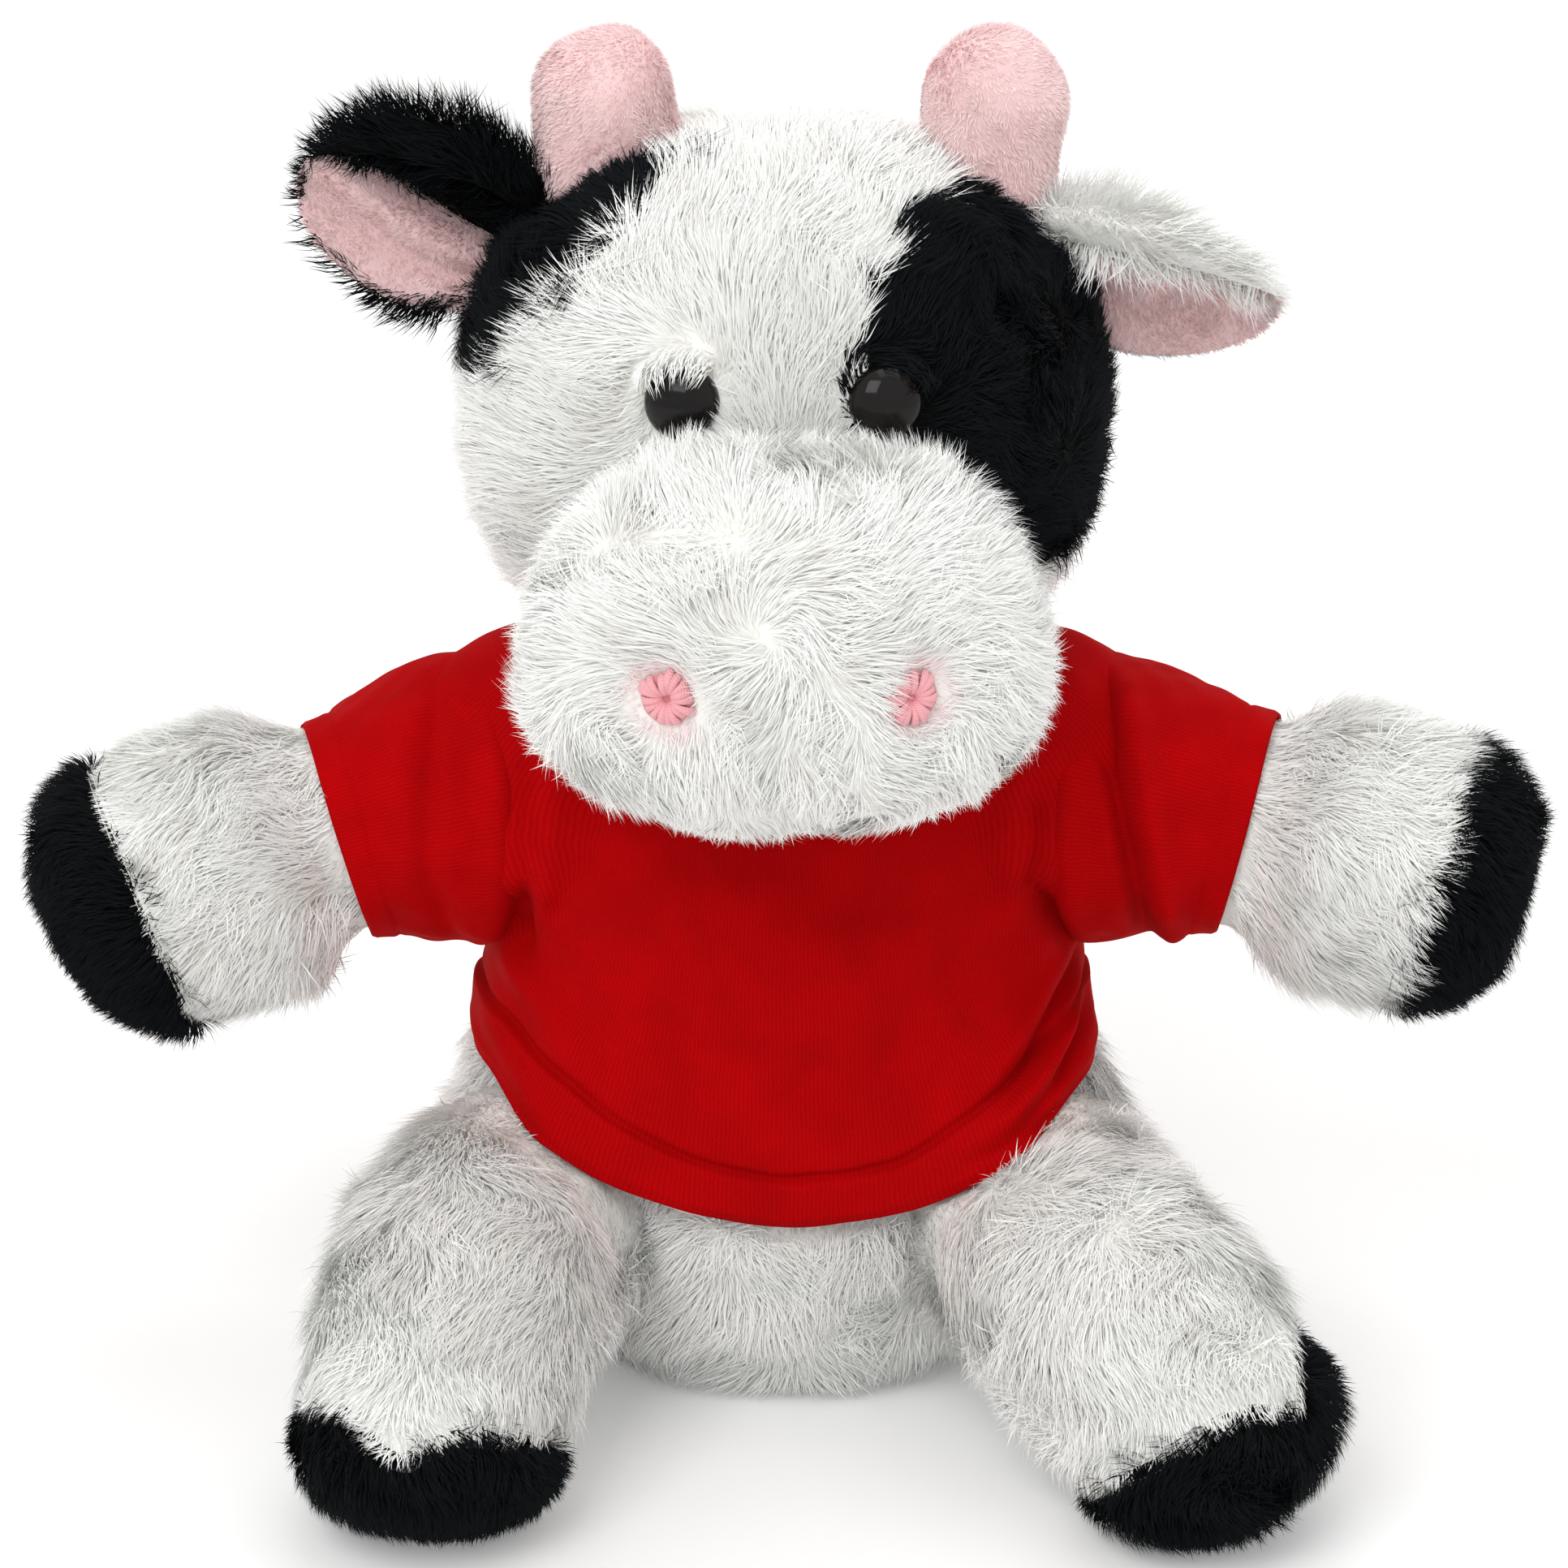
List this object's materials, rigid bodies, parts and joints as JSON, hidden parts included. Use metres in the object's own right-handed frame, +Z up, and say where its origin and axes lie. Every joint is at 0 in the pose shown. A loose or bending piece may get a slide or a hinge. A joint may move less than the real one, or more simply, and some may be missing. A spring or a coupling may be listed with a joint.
{
  "type": "plush cow",
  "caption": "Seated stuffed cow with outstretched arms, spread legs, plump muzzle, short horns, lined ears and a short-sleeved knitted jersey.",
  "frame": {"origin": "on the resting plane, under the middle of the torso's flat seat", "axes": "+Z up, the cow faces -Y, its own left side is at +X"},
  "size_m": [0.2399, 0.1807, 0.2227],
  "materials": {
    "white_plush": "white long-pile plush",
    "black_plush": "black long-pile plush",
    "red_jersey": "red single-jersey knit",
    "rib_knit": "red rib knit",
    "pink_minky": "pink short-pile minky",
    "pink_thread": "pink satin-stitch embroidery thread",
    "eye_gloss": "glossy dark brown moulded plastic",
    "washer_plastic": "natural moulded plastic",
    "fibre_fill": "polyester fibre fill",
    "pellet_bag": "woven cloth bag of pellets"
  },
  "bodies": {
    "torso": {"torso_skin": "white_plush", "torso_fill": "fibre_fill", "seat_pellet_bag": "pellet_bag", "shirt_front": "red_jersey", "shirt_back": "red_jersey", "shirt_neck_rib": "rib_knit"},
    "head": {"head_skin": "white_plush", "head_fill": "fibre_fill", "muzzle_skin": "white_plush", "eye_patch": "black_plush", "crown_patch": "black_plush", "horn_left": "pink_minky", "horn_right": "pink_minky", "horn_left_fill": "fibre_fill", "horn_right_fill": "fibre_fill", "eye_left": "eye_gloss", "eye_right": "eye_gloss", "eye_washer_left": "washer_plastic", "eye_washer_right": "washer_plastic", "nostril_left": "pink_thread", "nostril_right": "pink_thread"},
    "tail": {"tail_cord": "white_plush", "tail_tuft": "black_plush"},
    "arm_left": {"arm_left_skin": "white_plush", "arm_left_hoof": "black_plush", "arm_left_fill": "fibre_fill", "sleeve_left": "red_jersey"},
    "leg_left": {"leg_left_skin": "white_plush", "leg_left_hoof": "black_plush", "leg_left_fill": "fibre_fill"},
    "ear_left": {"ear_left_back": "white_plush", "ear_left_lining": "pink_minky"},
    "arm_right": {"arm_right_skin": "white_plush", "arm_right_hoof": "black_plush", "arm_right_fill": "fibre_fill", "sleeve_right": "red_jersey"},
    "leg_right": {"leg_right_skin": "white_plush", "leg_right_hoof": "black_plush", "leg_right_fill": "fibre_fill"},
    "ear_right": {"ear_right_back": "black_plush", "ear_right_lining": "pink_minky"}
  },
  "joints": [
    {"name": "shoulder_left", "type": "hinge", "parent": "torso", "child": "arm_left", "pos_m": [0.04, -0.002, 0.0965], "axis": [0, -1, 0], "range_deg": [-8, 24], "stiffness_Nm_per_rad": 0.25},
    {"name": "shoulder_right", "type": "hinge", "parent": "torso", "child": "arm_right", "pos_m": [-0.04, -0.002, 0.0965], "axis": [0, 1, 0], "range_deg": [-8, 24], "stiffness_Nm_per_rad": 0.25},
    {"name": "hip_left", "type": "hinge", "parent": "torso", "child": "leg_left", "pos_m": [0.033, -0.008, 0.028], "axis": [0, 0, 1], "range_deg": [-10, 12], "stiffness_Nm_per_rad": 0.1},
    {"name": "hip_right", "type": "hinge", "parent": "torso", "child": "leg_right", "pos_m": [-0.033, -0.008, 0.028], "axis": [0, 0, -1], "range_deg": [-10, 12], "stiffness_Nm_per_rad": 0.1},
    {"name": "head_nod", "type": "hinge", "parent": "torso", "child": "head", "pos_m": [0, 0, 0.104], "axis": [1, 0, 0], "range_deg": [-8, 12], "stiffness_Nm_per_rad": 2.5},
    {"name": "ear_flop_left", "type": "hinge", "parent": "head", "child": "ear_left", "pos_m": [0.0419, -0.004, 0.18636], "axis": [0, -1, 0], "range_deg": [-22, 18], "stiffness_Nm_per_rad": 0.01},
    {"name": "ear_flop_right", "type": "hinge", "parent": "head", "child": "ear_right", "pos_m": [-0.0419, -0.004, 0.18636], "axis": [0, 1, 0], "range_deg": [-22, 18], "stiffness_Nm_per_rad": 0.01},
    {"name": "tail_swing", "type": "hinge", "parent": "torso", "child": "tail", "pos_m": [0, 0.0423, 0.03], "axis": [0, 0, 1], "range_deg": [-25, 25], "stiffness_Nm_per_rad": 0.01}
  ]
}
